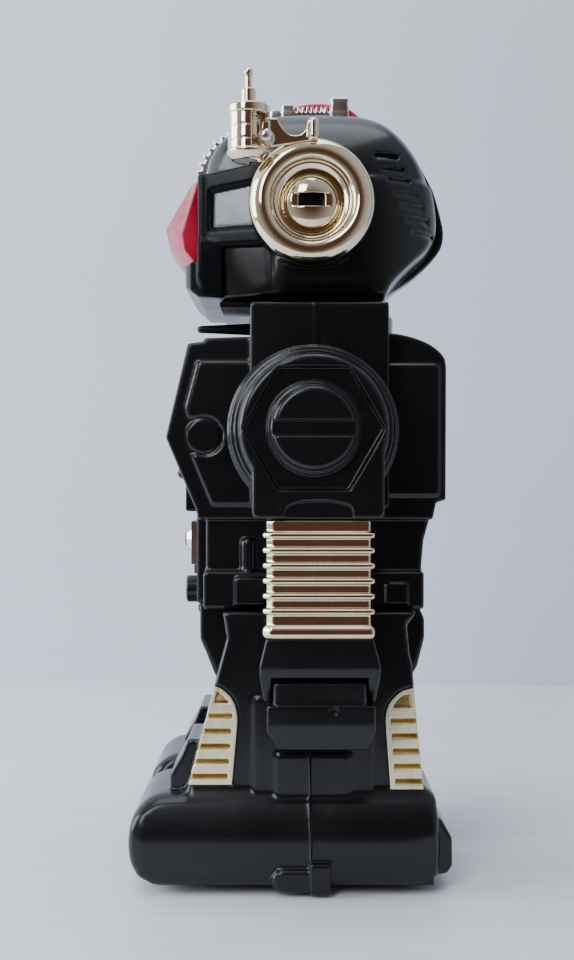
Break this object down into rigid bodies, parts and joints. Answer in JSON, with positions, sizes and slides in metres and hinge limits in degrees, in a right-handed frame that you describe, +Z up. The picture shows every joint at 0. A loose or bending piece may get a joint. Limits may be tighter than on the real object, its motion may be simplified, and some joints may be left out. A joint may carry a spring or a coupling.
{
  "type": "toy robot",
  "caption": "Standing toy robot with swivelling head, swinging arms, hinged hands, tilting antenna, push buttons and wheeled feet.",
  "frame": {"origin": "on the floor under the middle of the robot's outline, where its glide pads rest", "axes": "+Z up along its height; the robot faces -Y; its left side is +X"},
  "size_m": [0.1708, 0.124, 0.3094],
  "materials": {
    "black_plastic": "moulded glossy black plastic",
    "board": "green circuit board with components",
    "cell_jacket": "plain printed cell jacket",
    "cream_gold": "cream gold plated plastic",
    "gold_plating": "pale gold vacuum plating on plastic",
    "inner_plastic": "plain inner moulding",
    "nickel": "nickel plated strip",
    "paper_cone": "paper cone in a pressed frame",
    "red_clear": "clear red moulded plastic",
    "silver_plating": "silver vacuum plating on plastic",
    "smoked_clear": "smoked clear plastic",
    "steel": "bright drawn steel",
    "tyre_rubber": "black rubber",
    "white_plastic": "natural white acetal"
  },
  "bodies": {
    "trunk": {"torso_front": "black_plastic", "torso_rear": "black_plastic", "neck_collar": "black_plastic", "waist_plates": "silver_plating", "waist_jewels": "red_clear", "battery_cells": "cell_jacket", "battery_contacts": "nickel", "speaker": "paper_cone", "circuit_board": "board", "body_screws": "steel", "leg_front_left": "black_plastic", "leg_front_right": "black_plastic", "leg_rear_left": "black_plastic", "leg_rear_right": "black_plastic", "shin_vents": "cream_gold", "calf_vents": "cream_gold", "sole_left": "black_plastic", "sole_right": "black_plastic", "gearbox_frame": "inner_plastic", "motor": "steel"},
    "head": {"helmet": "black_plastic", "face_frame": "black_plastic", "side_windows": "smoked_clear", "visor": "red_clear", "eye_lamp": "inner_plastic", "crest_strip": "silver_plating", "crest_lens": "red_clear", "ear_rings": "gold_plating", "ear_caps": "gold_plating", "head_base": "black_plastic", "neck_retainer": "steel", "head_screws": "steel", "antenna_bracket": "gold_plating"},
    "antenna": {"antenna": "gold_plating", "antenna_pin": "silver_plating"},
    "left_arm": {"upper_arm_left": "black_plastic", "arm_inner_left": "black_plastic", "shoulder_cap_left": "black_plastic", "bellows_left": "gold_plating", "fork_left": "black_plastic"},
    "right_arm": {"upper_arm_right": "black_plastic", "arm_inner_right": "black_plastic", "shoulder_cap_right": "black_plastic", "bellows_right": "gold_plating", "fork_right": "black_plastic"},
    "left_hand": {"hand_left": "black_plastic"},
    "right_hand": {"hand_right": "black_plastic"},
    "lever": {"control_lever": "black_plastic"},
    "chest_button": {"chest_button": "black_plastic"},
    "power_button": {"power_button": "black_plastic"},
    "battery_door": {"battery_door": "black_plastic"},
    "drive_axle": {"drive_axle": "steel", "drive_wheels": "inner_plastic", "drive_tyres": "tyre_rubber", "axle_gear": "white_plastic"},
    "idler": {"idler_gear": "white_plastic"},
    "pinion": {"motor_pinion": "white_plastic"},
    "free_axle": {"free_axle": "steel", "free_wheels": "inner_plastic", "free_tyres": "tyre_rubber"}
  },
  "joints": [
    {"name": "head_swivel", "type": "hinge", "parent": "trunk", "child": "head", "pos_m": [0, 0.0128, 0.2183], "axis": [0, 0, 1], "range_deg": [-45, 45]},
    {"name": "antenna_tilt", "type": "hinge", "parent": "head", "child": "antenna", "pos_m": [0.0645, -0.0089, 0.2767], "axis": [1, 0, 0], "range_deg": [0, 15]},
    {"name": "left_shoulder", "type": "hinge", "parent": "trunk", "child": "left_arm", "pos_m": [0.0603, 0.0085, 0.1702], "axis": [-1, 0, 0], "range_deg": [-30, 100]},
    {"name": "right_shoulder", "type": "hinge", "parent": "trunk", "child": "right_arm", "pos_m": [-0.0603, 0.0085, 0.1702], "axis": [-1, 0, 0], "range_deg": [-30, 100]},
    {"name": "left_hand_hinge", "type": "hinge", "parent": "left_arm", "child": "left_hand", "pos_m": [0.071, 0.0107, 0.0765], "axis": [0, -1, 0], "range_deg": [0, 60]},
    {"name": "right_hand_hinge", "type": "hinge", "parent": "right_arm", "child": "right_hand", "pos_m": [-0.071, 0.0107, 0.0765], "axis": [0, 1, 0], "range_deg": [0, 60]},
    {"name": "lever_swing", "type": "hinge", "parent": "trunk", "child": "lever", "pos_m": [0, -0.0095, 0.2146], "axis": [0, 0, 1], "range_deg": [-14, 14]},
    {"name": "chest_button_push", "type": "slide", "parent": "trunk", "child": "chest_button", "axis": [0, 0.9198, 0.3923], "range_m": [0, 0.0015], "stiffness_N_per_m": 400, "springref_m": -0.0005},
    {"name": "power_button_push", "type": "slide", "parent": "trunk", "child": "power_button", "axis": [0, 1, 0], "range_m": [0, 0.002], "stiffness_N_per_m": 400, "springref_m": -0.0005},
    {"name": "battery_door_lift", "type": "slide", "parent": "trunk", "child": "battery_door", "axis": [0, 1, 0], "range_m": [0, 0.03]},
    {"name": "drive_spin", "type": "hinge", "parent": "trunk", "child": "drive_axle", "pos_m": [0.0355, 0.0052, 0.0102], "axis": [1, 0, 0], "continuous": true},
    {"name": "free_spin", "type": "hinge", "parent": "trunk", "child": "free_axle", "pos_m": [-0.0355, 0.0052, 0.0102], "axis": [1, 0, 0], "continuous": true},
    {"name": "idler_spin", "type": "hinge", "parent": "trunk", "child": "idler", "pos_m": [0.034, 0.01255, 0.01637], "axis": [1, 0, 0], "continuous": true},
    {"name": "pinion_spin", "type": "hinge", "parent": "trunk", "child": "pinion", "pos_m": [0.03, 0.02158, 0.01965], "axis": [1, 0, 0], "continuous": true}
  ],
  "couplings": [
    {"joint": "idler_spin", "follows": "drive_spin", "ratio": -2.2},
    {"joint": "pinion_spin", "follows": "drive_spin", "ratio": 6.6}
  ]
}
